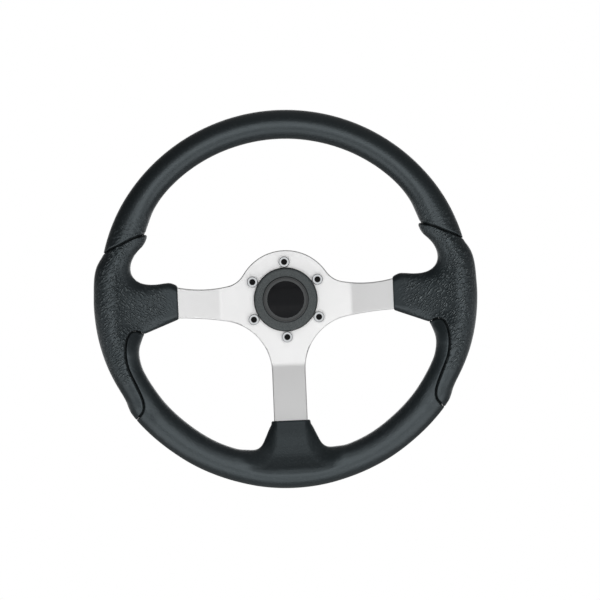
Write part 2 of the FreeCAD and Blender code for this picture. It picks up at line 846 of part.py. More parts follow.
rivets = [
    along_spoke(rivet(size("rivet_first_distance") + step * size("rivet_pitch")), spoke_turn)
    for spoke_turn in SPOKE_TURNS
    for step in range(RIVETS_PER_SPOKE)
]
spoke_rivets = finished("spoke_rivets", Part.makeCompound(rivets))
doc.recompute()
ring_and_lugs = core_ring.fuse(lugs).removeSplitter()
rim_core = finished("rim_core", ring_and_lugs.cut(rivets))
spoke_plate = finished("spoke_plate", plate_edge.Shape.cut(rivets))

# Rim envelope: one smooth skin up the right side, and the spokes' foam flowing into it
RIM_STEPS = 60
OVAL_STEPS = 10
STUB_ROUNDNESS = 0.8


def rim_point(angle, round_angle):
    """A point on the rim's skin: angle up the wheel, and angle round the oval from its outer side."""
    for (below, *low), (above, *high) in zip(RIM_STATIONS, RIM_STATIONS[1:]):
        if angle <= above:
            share = (angle - below) / (above - below)
            inset, swell = (foam_length(a + share * (b - a)) for a, b in zip(low, high))
            break
    inner = size("rim_inner_radius") - inset
    outer = size("rim_outer_radius") + swell
    half_width = (outer - inner) / 2
    half_depth = max(size("rim_depth") / 2, half_width + size("rim_least_oval"))
    radius = (outer + inner) / 2 + half_width * math.cos(round_angle)
    turned = math.radians(angle)
    return Vector(
        radius * math.cos(turned),
        value(RIM_MIDDLE) + half_depth * math.sin(round_angle),
        radius * math.sin(turned),
    )


def solid_between(skins, ends):
    """A solid from skins that share their edges, closed by flat faces at both ends."""
    caps = []
    for is_end in ends:
        rim = [edge for skin in skins for edge in skin.Edges if is_end(edge)]
        caps.append(Part.Face(Part.Wire(Part.__sortEdges__(rim))))
    shell = Part.Shell(skins + caps)
    shell.sewShape()
    return Part.Solid(shell)


rim_angles = [-90 + 180 * step / RIM_STEPS for step in range(RIM_STEPS + 1)]
rim_skins = []
for side in (-1, 1):
    grid = [
        [rim_point(angle, side * math.pi * step / OVAL_STEPS) for step in range(OVAL_STEPS + 1)]
        for angle in rim_angles
    ]
    skin = Part.BSplineSurface()
    skin.interpolate(grid)
    rim_skins.append(skin.toShape())


def on_seam(is_high):
    """A test for the half rim's edges at the top or the bottom of the wheel."""

    def test(edge):
        return edge.BoundBox.XMax < SAME_PLACE and (edge.BoundBox.ZMin > 0) == is_high

    return test


half_rim = solid_between(rim_skins, [on_seam(False), on_seam(True)])


def rounded_section(reach, low, high, half_depth):
    """A rounded rectangle across a spoke, centred on the sheet's middle."""
    middle = value(PLATE_MIDDLE) - (reach - size("bend_distance")) * math.tan(
        math.radians(size("spoke_slope"))
    )
    radius = STUB_ROUNDNESS * half_depth
    near = middle - half_depth
    far = middle + half_depth

    def point(y, z):
        return Vector(reach, y, z)

    def corner(start, end, y, z):
        centre = point(y, z)
        middle_way = ((start + end) / 2 - centre).normalize() * radius
        return Part.Arc(start, centre + middle_way, end).toShape()

    stops = [
        (point(near, low + radius), point(near, high - radius)),
        (point(near + radius, high), point(far - radius, high)),
        (point(far, high - radius), point(far, low + radius)),
        (point(far - radius, low), point(near + radius, low)),
    ]
    centres = [
        (near + radius, high - radius),
        (far - radius, high - radius),
        (far - radius, low + radius),
        (near + radius, low + radius),
    ]
    edges = []
    for index, (start, end) in enumerate(stops):
        following = stops[(index + 1) % 4][0]
        edges.append(Part.makeLine(start, end))
        edges.append(corner(end, following, *centres[index]))
    return Part.Wire(edges)


def spoke_stub(stations, first_reach, sheet_low, sheet_high, spoke_turn):
    """The foam round one spoke, with its open end rounded over."""
    length = value("Sizes.core_radius - Sizes.stub_root_depth") - first_reach
    wires = []
    for way, below, above, depth in stations:
        half_depth = size("stub_end_thickness") / 2
        if depth:
            half_depth = depth * size("rim_depth") / 2
        low = sheet_low - foam_length(below)
        high = sheet_high + foam_length(above)
        wires.append(rounded_section(first_reach + way * length, low, high, half_depth))
    solid = Part.makeLoft(wires, True, False)
    end_edges = [edge for edge in solid.Edges if edge.BoundBox.XMax < first_reach + SAME_PLACE]
    solid = solid.makeFillet(size("stub_end_round"), end_edges).Solids[0]
    solid.rotate(Vector(), Vector(0, 1, 0), spoke_turn)
    return solid


side_reach = size("side_stub_reach")
right_stub = spoke_stub(
    SIDE_STUB_STATIONS,
    side_reach,
    spoke_underside(side_reach),
    spoke_top(side_reach),
    SPOKE_TURNS[0],
)
lower_stub = spoke_stub(
    LOWER_STUB_STATIONS,
    size("lower_stub_reach"),
    -size("lower_spoke_half_width"),
    size("lower_spoke_half_width"),
    SPOKE_TURNS[1],
)
right_half = half_rim.fuse(right_stub)
left_half = right_half.mirror(Vector(), Vector(1, 0, 0))
envelope = right_half.fuse([left_half, lower_stub])
foam = envelope.cut([spoke_plate.Shape, rim_core.Shape] + rivets)


# Joints between the hand grips and the covers, drawn from the front and cut straight through
def joint_curve(points):
    """A smooth curve through points given from the rim's inner radius."""
    places = []
    for past, angle in points:
        radius = size("rim_inner_radius") + foam_length(past)
        turned = math.radians(angle)
        places.append(Vector(radius * math.cos(turned), 0, radius * math.sin(turned)))
    curve = Part.BSplineCurve()
    curve.interpolate(places)
    return curve.toShape()


def grip_region():
    """A block that holds all of the right hand grip and none of the covers."""
    upper = joint_curve(UPPER_JOINT)
    lower = joint_curve(LOWER_JOINT)
    outer_top = upper.Vertexes[-1].Point
    outer_low = lower.Vertexes[-1].Point
    inner_top = upper.Vertexes[0].Point
    inner_low = lower.Vertexes[0].Point
    far = 1.3 * size("rim_outer_radius")
    near = value("Sizes.side_stub_reach - Sizes.grip_block_margin")
    corners = [
        outer_top,
        Vector(far, 0, outer_top.z),
        Vector(far, 0, outer_low.z),
        outer_low,
    ]
    inner_corners = [inner_low, Vector(near, 0, inner_low.z), Vector(near, 0, inner_top.z), inner_top]
    lines = [Part.makeLine(a, b) for a, b in zip(corners, corners[1:])]
    lines += [Part.makeLine(a, b) for a, b in zip(inner_corners, inner_corners[1:])]
    wire = Part.Wire(Part.__sortEdges__([upper, lower] + lines))
    block = Part.Face(wire).extrude(Vector(0, 4 * size("rim_depth"), 0))
    block.translate(Vector(0, value(RIM_MIDDLE) - 2 * size("rim_depth"), 0))
    return block


right_region = grip_region()
left_region = right_region.mirror(Vector(), Vector(1, 0, 0))
left_grip = foam.common(left_region)
left_hand_grip = finished("left_hand_grip", left_grip)
right_hand_grip = finished("right_hand_grip", left_grip.mirror(Vector(), Vector(1, 0, 0)))
covers = foam.cut([right_region, left_region])
upper_solids = [solid for solid in covers.Solids if solid.CenterOfMass.z > 0]
lower_solids = [solid for solid in covers.Solids if solid.CenterOfMass.z < 0]
upper_rim_cover = finished("upper_rim_cover", Part.makeCompound(upper_solids))
lower_rim_cover = finished("lower_rim_cover", Part.makeCompound(lower_solids))
doc.recompute()

SUB_PARTS = {
    "hub_adapter": hub_adapter,
    "spoke_plate": spoke_plate,
    "hub_screws": hub_screws,
    "cap_bezel": cap_bezel,
    "centre_cap": centre_cap,
    "badge_disc": badge_disc,
    "rim_core": rim_core,
    "spoke_rivets": spoke_rivets,
    "upper_rim_cover": upper_rim_cover,
    "lower_rim_cover": lower_rim_cover,
    "left_hand_grip": left_hand_grip,
    "right_hand_grip": right_hand_grip,
}

# Checks before anything is written
for made in doc.Objects:
    if {"Invalid", "Error"} & set(made.State):
        raise RuntimeError(f"{made.Label} failed: {made.State}")
for label, made in SUB_PARTS.items():
    if made.Shape.isNull() or not made.Shape.isValid():
        raise RuntimeError(f"{label} has no valid shape")

os.makedirs("parts", exist_ok=True)
for label, made in SUB_PARTS.items():
    made.Shape.exportStep(f"parts/{label}.step")
    print(label, len(made.Shape.Solids), "solids", round(made.Shape.Volume), "mm3")
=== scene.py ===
import math

import bpy
import numpy as np
from mathutils import Matrix, Vector


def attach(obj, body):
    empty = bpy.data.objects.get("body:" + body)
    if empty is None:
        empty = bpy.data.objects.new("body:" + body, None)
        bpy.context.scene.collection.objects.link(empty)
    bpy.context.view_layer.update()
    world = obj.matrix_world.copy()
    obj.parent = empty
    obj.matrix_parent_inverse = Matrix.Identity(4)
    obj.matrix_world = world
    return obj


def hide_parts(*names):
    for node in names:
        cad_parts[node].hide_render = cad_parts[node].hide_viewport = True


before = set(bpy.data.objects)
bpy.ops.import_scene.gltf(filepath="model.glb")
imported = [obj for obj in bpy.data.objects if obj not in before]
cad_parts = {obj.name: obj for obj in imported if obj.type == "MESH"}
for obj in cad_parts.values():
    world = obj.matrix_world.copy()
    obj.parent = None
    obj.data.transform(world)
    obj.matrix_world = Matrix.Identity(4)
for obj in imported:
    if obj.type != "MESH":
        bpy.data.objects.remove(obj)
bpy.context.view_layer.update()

# Dress for the three-spoke boat wheel. The four foam mouldings on the rim are rebuilt here as finer skins,
# with rounded lips and a groove along their joints. All other CAD nodes keep their shape and get their
# finishes. The foam is drawn in millimetres in the wheel's own frame: X right, Z up, Y away from the
# driver. Materials, lamps and the camera are in metres.
MM = 0.001

# Depths of the foam: the middle of the rim, and of the spoke plate that slopes forward outside its bend
RIM_Y, RIM_HALF_DEPTH = -73.07, 16
PLATE_Y, BEND_OUT, SLOPE = -42.5, 61, math.tan(math.radians(17))
# Rounding of the edges at the joints and at the stubs' ends, and the groove along each joint, which
# closes near the outline
LIP, UPPER_LIP, END_ROUND = 1.0, 1.8, 1.5
SEAM_GAP, SEAM_FIT, SEAM_DEPTH = 0.75, 0.05, 2.0
SEAM_CLOSING = (1.5, 5)
# How far the lower cover sinks beside a grip, and the top of a grip beside the upper cover, and the
# distances from the joint over which they do
LOWER_SINK, LOWER_BESIDE, OFF_GRIP = 1.1, (3, 17), (-2, 0.3)
GRIP_SINK, GRIP_BESIDE, GRIP_TOP = 0.9, (1, 7), (0, 30)
# Where the stubs end on the spokes, and how their edge rounding grows into the rim's with the distance
# from the axis, later at the lower stub
SIDE_STUB_END, LOWER_STUB_END = 99.9, 112.2
STUB_EDGE, EDGE_GROWTH, LOWER_EDGE_DELAY = 5.9, (103, 138), 10
# Half widths over which the foam passes from a spoke's depth to the rim's
SIDE_SPOKE_Z, SIDE_BAND, LOWER_BAND = 1, (17, 47), (20, 48)

# Front outline of the right half. Outer side: angle up the wheel and radius.
OUTER = [
    (-90, 174.2), (-80, 174.2), (-74, 174.1), (-66, 174.4), (-60, 174.8), (-50, 175.4),
    (-42, 176.4), (-38, 176.9), (-35.5, 177.15), (-33.8, 177.1), (-32, 176.1), (-30.2, 174.9),
    (-28, 174.5), (-26, 174.75), (-22, 175.4), (-18, 176.0), (-10, 176.7), (-4, 177.0),
    (0, 177.2), (4, 177.3), (8, 177.8), (10, 177.8), (12, 177.2), (14, 175.6), (15.6, 173.9),
    (17, 173.5), (19, 173.7), (30, 174.7), (40, 175.0), (60, 175.2), (90, 175.2),
]
# Inner side, from the top of the wheel down the right: angle and radius, then X and Z round the side
# stub, angle and radius again, and X and Z round the lower stub
INNER_TOP = [
    (90, 148.4), (75, 148.4), (60, 148.6), (50, 148.6), (44, 148.4), (40, 147.9), (36, 146.9),
    (34, 146.0), (32, 145.0), (30, 144.2),
]
INNER_SIDE = [
    (126.2, 68.6), (127.3, 66.4), (126.0, 65.0), (125.4, 63.6), (125.9, 61.5), (127.0, 59.0),
    (129.5, 55.2), (134.0, 50.8), (138.0, 46.0), (141.0, 39.8), (142.0, 34.0), (141.0, 28.6),
    (137.6, 23.9), (133.0, 21.0), (127.5, 19.5), (120.0, 19.1), (112.0, 19.8), (107.0, 20.0),
    (103.0, 18.7), (100.0, 17.2), (94.0, 16.4), (80.0, 16.0), (80.0, -13.4), (94.0, -13.4),
    (100.0, -14.2), (104.0, -15.7), (110.0, -18.0), (120.0, -21.8), (128.0, -24.9), (131.3, -26.2),
    (132.9, -28.4), (134.2, -31.6), (136.4, -38.0), (137.1, -44.0), (136.6, -50.0), (134.6, -58.0),
]
INNER_LOW = [
    (-26.5, 146.6), (-32, 146.4), (-38, 146.4), (-42, 146.2), (-50, 145.8), (-60, 145.8),
    (-66, 145.4), (-70, 144.8), (-73, 143.3),
]
INNER_FOOT = [
    (36.8, -137.5), (33.5, -137.3), (30.6, -136.2), (28.2, -134.2), (26.4, -131.6), (24.8, -128.4),
    (22.0, -122.4), (20.0, -118.2), (18.5, -115.6), (18.2, -112.0), (18.2, -96.0), (0.0, -96.0),
]
# Joints between the hand grip and the two covers, X and Z from the window side outwards
UPPER_SEAM = [
    (104, 71.5), (116, 68.6), (128, 65.2), (140, 61.4), (147, 58.1), (155, 54.6), (162, 51.4),
    (167, 48.4), (178, 42), (205, 28),
]
LOWER_SEAM = [
    (112, -44), (124, -35), (131.2, -26.9), (134.5, -24.9), (138.0, -23.4), (141.0, -23.2),
    (144.4, -25.0), (147.2, -29.6), (148.8, -36.5), (149.2, -45.0), (147.6, -56.0), (144.2, -65.0),
    (140.0, -74.4), (136.2, -83.6), (134.6, -90.0), (135.2, -96.6), (138.6, -101.6), (142.4, -105.2),
    (150, -111), (172, -124),
]
# The grip's region reaches from the window to beyond the rim
PAST_RIM, IN_WINDOW = 240, 60
# Half depth and middle of the stubs' foam, by distance along the spoke from the wheel's axis
SIDE_HALF_DEPTH = [
    (80, 6.75), (100, 6.75), (106, 7.15), (115, 8.0), (130, 9.4), (138, 10.3), (146, 11.9),
    (152, 14.0), (156, 15.5), (160, 16.0), (185, 16.0),
]
LOWER_HALF_DEPTH = [
    (80, 6.75), (112, 6.75), (118, 7.5), (126, 8.7), (136, 9.9), (144, 11.3), (151, 13.6),
    (156, 15.4), (160, 16.0), (185, 16.0),
]
ON_SPOKE = (80, 100, 120, 140, 152)
FOAM_MIDDLE = [(out, PLATE_Y - (out - BEND_OUT) * SLOPE) for out in ON_SPOKE]
FOAM_MIDDLE += [(158, -72.3), (164, RIM_Y), (185, RIM_Y)]
# Edge rounding of the rim by angle, just under half its width
RIM_ROUND = [
    (-90, 14.0), (-66, 14.1), (-50, 14.6), (-38, 14.9), (-33, 14.8), (-28, 13.9), (-18, 14.7),
    (0, 15.0), (10, 15.1), (16, 14.0), (24, 14.2), (32, 14.0), (40, 13.4), (90, 13.2),
]


# Curves and tables
def smooth_line(points, spacing):
    """Closely spaced points on a centripetal spline through the given ones."""
    p = np.array(points, float)
    p = np.vstack([2 * p[0] - p[1], p, 2 * p[-1] - p[-2]])
    out = []
    for a, b, c, d in zip(p, p[1:], p[2:], p[3:]):
        t1 = max(np.linalg.norm(b - a), 1e-6) ** 0.5
        t2 = t1 + max(np.linalg.norm(c - b), 1e-6) ** 0.5
        t3 = t2 + max(np.linalg.norm(d - c), 1e-6) ** 0.5
        count = max(1, math.ceil(np.linalg.norm(c - b) / spacing))
        t = (t1 + (t2 - t1) * np.arange(count) / count)[:, None]
        ab = (t1 - t) / t1 * a + t / t1 * b
        bc = (t2 - t) / (t2 - t1) * b + (t - t1) / (t2 - t1) * c
        cd = (t3 - t) / (t3 - t2) * c + (t - t2) / (t3 - t2) * d
        abc = (t2 - t) / t2 * ab + t / t2 * bc
        bcd = (t3 - t) / (t3 - t1) * bc + (t - t1) / (t3 - t1) * cd
        out.append((t2 - t) / (t2 - t1) * abc + (t - t1) / (t2 - t1) * bcd)
    return np.vstack(out + [p[-2:-1]])


def arc(pairs):
    """Points along a smooth curve whose radius is given at some angles."""
    line = smooth_line(pairs, 0.3)
    turn = np.radians(line[:, 0])
    return np.stack([line[:, 1] * np.cos(turn), line[:, 1] * np.sin(turn)], axis=1)


def smooth_table(pairs):
    """A smooth function of one number through the given pairs."""
    line = smooth_line(pairs, 0.5)
    return lambda x: np.interp(x, line[:, 0], line[:, 1])


def mirrored(right):
    """A closed outline from its right half."""
    return np.vstack([right, right[::-1] * (-1, 1)])


def ease(x, start, end):
    """A smooth step from 0 at the start to 1 at the end."""
    t = np.clip((x - start) / (end - start), 0, 1)
    return t * t * (3 - 2 * t)


# Distance maps of the front view's right half, on a fine grid. Distances beyond the reach aren't needed.
GRID, REACH = 0.4, 19.0
MAP_X = np.arange(-6, 212, GRID)
MAP_Z = np.arange(-188, 188, GRID)


def signed_map(outline):
    """Distance to a closed outline, negative inside it."""
    distance = np.full((len(MAP_X), len(MAP_Z)), REACH)
    crossings = np.zeros((len(MAP_X), len(MAP_Z)), np.int32)
    for start, end in zip(outline, np.roll(outline, -1, axis=0)):
        low, high = np.minimum(start, end), np.maximum(start, end)
        i0, i1 = np.searchsorted(MAP_X, (low[0] - REACH, high[0] + REACH))
        k0, k1 = np.searchsorted(MAP_Z, (low[1] - REACH, high[1] + REACH))
        if i0 < i1 and k0 < k1:
            x, z = MAP_X[i0:i1, None] - start[0], MAP_Z[None, k0:k1] - start[1]
            run = end - start
            t = np.clip((x * run[0] + z * run[1]) / max(run @ run, 1e-12), 0, 1)
            away = np.hypot(x - t * run[0], z - t * run[1])
            distance[i0:i1, k0:k1] = np.minimum(distance[i0:i1, k0:k1], away)
        rows = np.flatnonzero((MAP_Z > low[1]) & (MAP_Z <= high[1]))
        if len(rows):
            at = start[0] + (MAP_Z[rows] - start[1]) * (end[0] - start[0]) / (end[1] - start[1])
            columns = np.searchsorted(MAP_X, at)
            kept = columns < len(MAP_X)
            np.add.at(crossings, (columns[kept], rows[kept]), 1)
    inside = np.cumsum(crossings, axis=0) % 2 == 1
    return np.where(inside, -distance, distance)


def sample(field, x, z):
    """A map's value between its grid points, the same on the left as on the right."""
    u = np.clip((np.abs(x) - MAP_X[0]) / GRID, 0, len(MAP_X) - 1.001)
    v = np.clip((z - MAP_Z[0]) / GRID, 0, len(MAP_Z) - 1.001)
    i, k = u.astype(int), v.astype(int)
    u, v = u - i, v - k
    low = field[i, k] * (1 - u) + field[i + 1, k] * u
    high = field[i, k + 1] * (1 - u) + field[i + 1, k + 1] * u
    return low * (1 - v) + high * v


outer_line = mirrored(arc(OUTER))
side_line = smooth_line([arc(INNER_TOP)[-1], *INNER_SIDE, arc(INNER_LOW)[0]], 0.5)
foot_line = smooth_line([arc(INNER_LOW)[-1], *INNER_FOOT], 0.5)
inner_line = mirrored(np.vstack([arc(INNER_TOP), side_line, arc(INNER_LOW), foot_line]))
grip_line = np.vstack([
    smooth_line(UPPER_SEAM, 0.5), [(PAST_RIM, UPPER_SEAM[-1][1]), (PAST_RIM, LOWER_SEAM[-1][1])],
    smooth_line(LOWER_SEAM, 0.5)[::-1], [(IN_WINDOW, -60), (IN_WINDOW, 74)],
])
OUTLINE_MAP = np.maximum(signed_map(outer_line), -signed_map(inner_line))
GRIP_MAP = signed_map(grip_line)

side_half_depth = smooth_table(SIDE_HALF_DEPTH)
lower_half_depth = smooth_table(LOWER_HALF_DEPTH)
foam_middle = smooth_table(FOAM_MIDDLE)
rim_round = smooth_table(RIM_ROUND)


# Skins of the four mouldings
def plan_fields(x, z):
    """What the skin needs to know of each place seen from the front: the distances to the outline and to
    the grip, the half depth, middle and edge rounding, the distance past a stub's end, and how far up the
    grip's top it is."""
    x = np.abs(x)
    out = np.hypot(x, z)
    angle = np.degrees(np.arctan2(z, x))
    to_side = 1 - ease(np.abs(z - SIDE_SPOKE_Z), *SIDE_BAND)
    to_foot = np.where(z < 0, 1 - ease(x, *LOWER_BAND), 0)
    half = RIM_HALF_DEPTH + to_side * (side_half_depth(x) - RIM_HALF_DEPTH) + to_foot * (
        lower_half_depth(-z) - RIM_HALF_DEPTH)
    middle = RIM_Y + to_side * (foam_middle(x) - RIM_Y) + to_foot * (foam_middle(-z) - RIM_Y)
    start, full = EDGE_GROWTH
    edge = STUB_EDGE + ease(out, start + LOWER_EDGE_DELAY * to_foot, full) * (rim_round(angle) - STUB_EDGE)
    on_lower_stub = (x < 60) & (z < -80)
    on_side_stub = (x > 60) & (np.abs(z) < 40)
    end = np.where(on_lower_stub, z + LOWER_STUB_END, -REACH)
    end = np.where(on_side_stub, SIDE_STUB_END - x, end)
    high = ease(z, *GRIP_TOP)
    return sample(OUTLINE_MAP, x, z), sample(GRIP_MAP, x, z), half, middle, edge, end, high


def round_max(a, b, radius):
    """The larger of two distances, with the edge between them rounded."""
    both = np.hypot(np.maximum(a + radius, 0), np.maximum(b + radius, 0)) - radius
    return np.where((a > -radius) & (b > -radius), both, np.maximum(a, b))


def skin(fields, y, part):
    """About the distance to one moulding's skin, negative inside."""
    outline, grip, half, middle, edge, end, high = fields
    if part == "lower":
        half = half - LOWER_SINK * (1 - ease(grip, *LOWER_BESIDE)) * ease(grip, *OFF_GRIP)
    if part == "grip":
        half = half - GRIP_SINK * (1 - ease(-grip, *GRIP_BESIDE)) * high
    across = np.maximum(edge + outline, 0) / edge
    along = (y - middle) / half
    radius = np.maximum(np.hypot(across, along), 0.05)
    slope = np.hypot(across / edge, along / half) / radius
    away = (radius - 1) / np.maximum(slope, 0.03)
    seam = grip if part == "grip" else -grip
    shallow = 1 - ease(-away, SEAM_DEPTH, SEAM_DEPTH + 1)
    gap = SEAM_FIT + SEAM_GAP * shallow * ease(-outline, *SEAM_CLOSING)
    lip = UPPER_LIP if part == "upper" else LIP
    return round_max(round_max(away, seam + gap, lip), end, END_ROUND)


def skin_at(points, part):
    """The same at scattered points."""
    x, y, z = points.T
    return skin(plan_fields(x, z), y, part)


# Nets on the skins: the grid's spacing, and the step that measures a slope. A net settles in some turns,
# each with a longest move, and two of them also even it out by a share.
CELL, PROBE = 0.9, 0.04
SETTLING_TURNS, LONGEST_MOVE = 6, 0.6
EVENING_TURNS, EVENING_SHARE = (1, 3), 0.6


def surface_net(value, origin):
    """Vertices, their cells and quads of the surface where the grid's value is nought."""
    shape = np.array(value.shape) - 1
    total = np.zeros((*shape, 3), np.float32)
    count = np.zeros(shape, np.float32)
    inside = value < 0
    faces = []
    for axis in range(3):
        lo, hi = [slice(None)] * 3, [slice(None)] * 3
        lo[axis], hi[axis] = slice(0, -1), slice(1, None)
        v0, v1 = value[tuple(lo)], value[tuple(hi)]
        crossing = inside[tuple(lo)] != inside[tuple(hi)]
        index = np.argwhere(crossing)
        a, b = v0[crossing], v1[crossing]
        place = index.astype(np.float32)
        place[:, axis] += a / (a - b)
        others = [n for n in range(3) if n != axis]
        around = []
        for du, dv in ((0, 0), (1, 0), (1, 1), (0, 1)):
            cell = index.copy()
            cell[:, others[0]] -= du
            cell[:, others[1]] -= dv
            good = np.all((cell >= 0) & (cell < shape), axis=1)
            at = tuple(cell[good].T)
            np.add.at(total, at, place[good])
            np.add.at(count, at, 1)
            around.append(np.where(good[:, None], cell, -1))
        around = np.stack(around, axis=1)
        full = np.all(around >= 0, axis=(1, 2))
        flip = (a < 0)[full] == (axis == 1)
        quads = around[full]
        quads[flip] = quads[flip][:, ::-1]
        faces.append(quads)
    active = count > 0
    number = np.full(shape, -1)
    number[active] = np.arange(active.sum())
    points = origin + CELL * total[active] / count[active][:, None]
    quads = np.concatenate(faces)
    return points.astype(float), np.argwhere(active), number[quads[..., 0], quads[..., 1], quads[..., 2]]


def joined_halves(points, cells, quads):
    """A net across the middle plane, from the part of it on the right."""
    column = cells[:, 0]
    quads = quads[np.all(column[quads] >= 1, axis=1)]
    used = np.unique(quads)
    renumber = np.full(len(points), -1)
    renumber[used] = np.arange(len(used))
    quads, points, column = renumber[quads], points[used], column[used]
    on_plane = column == 1
    points[on_plane, 0] = 0
    twin = np.where(on_plane, np.arange(len(points)), len(points) + np.cumsum(~on_plane) - 1)
    points = np.vstack([points, points[~on_plane] * (-1, 1, 1)])
    return points, np.vstack([quads, twin[quads][:, ::-1]])


def settle(points, quads, part):
    """Evens the net out and brings every point onto the skin; returns points and normals."""
    starts = quads.ravel()
    ends = np.roll(quads, -1, axis=1).ravel()

    def gradient(p):
        steps = np.eye(3) * PROBE
        rises = [skin_at(p + step, part) - skin_at(p - step, part) for step in steps]
        return np.stack(rises, axis=1) / (2 * PROBE)

    for turn in range(SETTLING_TURNS):
        g = gradient(points)
        size = np.maximum(np.sum(g * g, axis=1), 0.05)
        move = skin_at(points, part) / size
        points = points - np.clip(move, -LONGEST_MOVE, LONGEST_MOVE)[:, None] * g
        if turn in EVENING_TURNS:
            near = np.zeros_like(points)
            ties = np.zeros(len(points))
            for one, other in ((starts, ends), (ends, starts)):
                np.add.at(near, one, points[other])
                np.add.at(ties, one, 1)
            pull = near / np.maximum(ties, 1)[:, None] - points
            n = g / np.maximum(np.linalg.norm(g, axis=1), 1e-6)[:, None]
            points = points + EVENING_SHARE * (pull - n * np.sum(pull * n, axis=1)[:, None])
    g = gradient(points)
    return points, g / np.maximum(np.linalg.norm(g, axis=1), 1e-6)[:, None]


def moulding(part, box):
    """Points, normals and quads of one moulding: of the right half, or across the middle."""
    (x0, x1), (y0, y1), (z0, z1) = box
    reaches_middle = x0 == 0
    xs = np.arange(-1.5 * CELL if reaches_middle else x0, x1, CELL)
    ys, zs = np.arange(y0, y1, CELL), np.arange(z0, z1, CELL)
    fields = plan_fields(*np.meshgrid(xs, zs, indexing="ij"))
    value = skin([field[:, None, :] for field in fields], ys[None, :, None], part)
    origin = np.array([xs[0], ys[0], zs[0]])
    points, cells, quads = surface_net(value.astype(np.float32), origin)
    if reaches_middle:
        points, quads = joined_halves(points, cells, quads)
    points, normals = settle(points, quads, part)
    return points, normals, quads


def mirror_image(points, normals, quads):
    """The left grip's net from the right one's."""
    return points * (-1, 1, 1), normals * (-1, 1, 1), quads[:, ::-1]


# Grain, and painted shade in the joints' grooves. The thumb notch stays nearly smooth.
NOTCH_X, NOTCH_Z = 137, 28


def rise(x, start, end, least):
    """A smooth step from a least share to 1."""
    return least + (1 - least) * ease(x, start, end)


def grain_strength(points, part):
    """How deep the moulded leather grain is at each point, which also sets how strong its painted crest
    highlights are.
    """
    x, z = np.abs(points[:, 0]), points[:, 2]
    if part == "grip":
        off_stub_end = rise(x, 106, 120, 0.12)
        off_foot = rise(z, -76, -62, 0.1)
        off_edge = rise(-sample(OUTLINE_MAP, x, z), 4, 12, 0.25)
        off_notch = rise(np.hypot(x - NOTCH_X, z - NOTCH_Z), 9, 20, 0.25)
        return off_stub_end * off_foot * off_edge * off_notch
    if part == "upper":
        seam = np.abs(sample(GRIP_MAP, x, z))
        return 0.08 + 0.12 * (1 - ease(seam, 12, REACH)) + 0.08 * (1 - ease(z, 70, 100))
    return np.full(len(points), 0.07)


def groove_shade_share(points):
    """How much painted shade each point takes, most at the bottom of a joint's groove."""
    return 1 - ease(np.abs(sample(GRIP_MAP, points[:, 0], points[:, 2])), 0.3, 1.2)


def make_piece(name, part, net, replaced):
    """One foam piece from its net, with its grain and the share of painted shade in its grooves stored on
    its points.
    """
    points, normals, quads = net
    mesh = bpy.data.meshes.new(name)
    mesh.from_pydata((points * MM).tolist(), [], quads.tolist())
    mesh.shade_smooth()
    mesh.normals_split_custom_set_from_vertices(normals.tolist())
    for layer, share in (("grain", grain_strength(points, part)), ("groove_shade", groove_shade_share(points))):
        data = mesh.attributes.new(layer, "FLOAT", "POINT").data
        data.foreach_set("value", share.astype(np.float32))
    piece = bpy.data.objects.new(name, mesh)
    bpy.context.scene.collection.objects.link(piece)
    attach(piece, "root")
    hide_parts(replaced)
    return piece


# The boxes in X, Y and Z that hold each moulding
GRIP_BOX = ((96, 181), (-92, -44), (-126, 74))
UPPER_BOX = ((0, 181), (-92, -54), (38, 179))
LOWER_BOX = ((0, 181), (-92, -44), (-178, -18))
grip_net = moulding("grip", GRIP_BOX)
upper_net = moulding("upper", UPPER_BOX)
lower_net = moulding("lower", LOWER_BOX)
foam = [
    make_piece("right_grip_foam", "grip", grip_net, "right_hand_grip"),
    make_piece("left_grip_foam", "grip", mirror_image(*grip_net), "left_hand_grip"),
    make_piece("upper_cover_foam", "upper", upper_net, "upper_rim_cover"),
    make_piece("lower_cover_foam", "lower", lower_net, "lower_rim_cover"),
]


# Materials
WHITE = (1, 1, 1, 1)


class Nodes:
    """Short hand for a material's or the world's node tree."""

    def __init__(self, owner):
        owner.use_nodes = True
        self.tree = owner.node_tree
        self.tree.nodes.clear()

    def add(self, kind, links=(), **settings):
        made = self.tree.nodes.new(kind)
        for key, setting in settings.items():
            setattr(made, key, setting)
        for key, source in dict(links).items():
            if isinstance(source, bpy.types.NodeSocket):
                self.tree.links.new(source, made.inputs[key])
            else:
                made.inputs[key].default_value = source
        return made

    def math(self, operation, *values):
        made = self.add("ShaderNodeMath", enumerate(values), operation=operation)
        return made.outputs[0]

    def remap(self, source, low, high, to_low, to_high):
        made = self.add("ShaderNodeMapRange", {
            "Value": source, "From Min": low, "From Max": high, "To Min": to_low, "To Max": to_high})
        return made.outputs[0]

    def blend(self, share, one, other):
        made = self.add("ShaderNodeMix", {0: share, 6: one, 7: other}, data_type="RGBA")
        return made.outputs[2]

    def noise(self, where, size_mm, detail=3.0, roughness=0.5):
        made = self.add("ShaderNodeTexNoise", {
            "Vector": where, "Scale": 1000 / size_mm, "Detail": detail, "Roughness": roughness})
        return made.outputs[0]

    def length(self, where, axes):
        """Distance from the origin along some of the axes."""
        kept = self.add("ShaderNodeVectorMath", {0: where, 1: axes}, operation="MULTIPLY").outputs[0]
        return self.add("ShaderNodeVectorMath", {0: kept}, operation="LENGTH").outputs["Value"]

    def hypot(self, one, other):
        squares = self.math("MULTIPLY", one, one), self.math("MULTIPLY", other, other)
        return self.math("SQRT", self.math("ADD", *squares))


def material(name):
    """A new material with its nodes, its place in the frame and its shader."""
    made = bpy.data.materials.new(name)
    nodes = Nodes(made)
    where = nodes.add("ShaderNodeTexCoord").outputs["Object"]
    shader = nodes.add("ShaderNodeBsdfPrincipled")
    output = nodes.add("ShaderNodeOutputMaterial")
    nodes.tree.links.new(shader.outputs[0], output.inputs[0])
    return made, nodes, where, shader


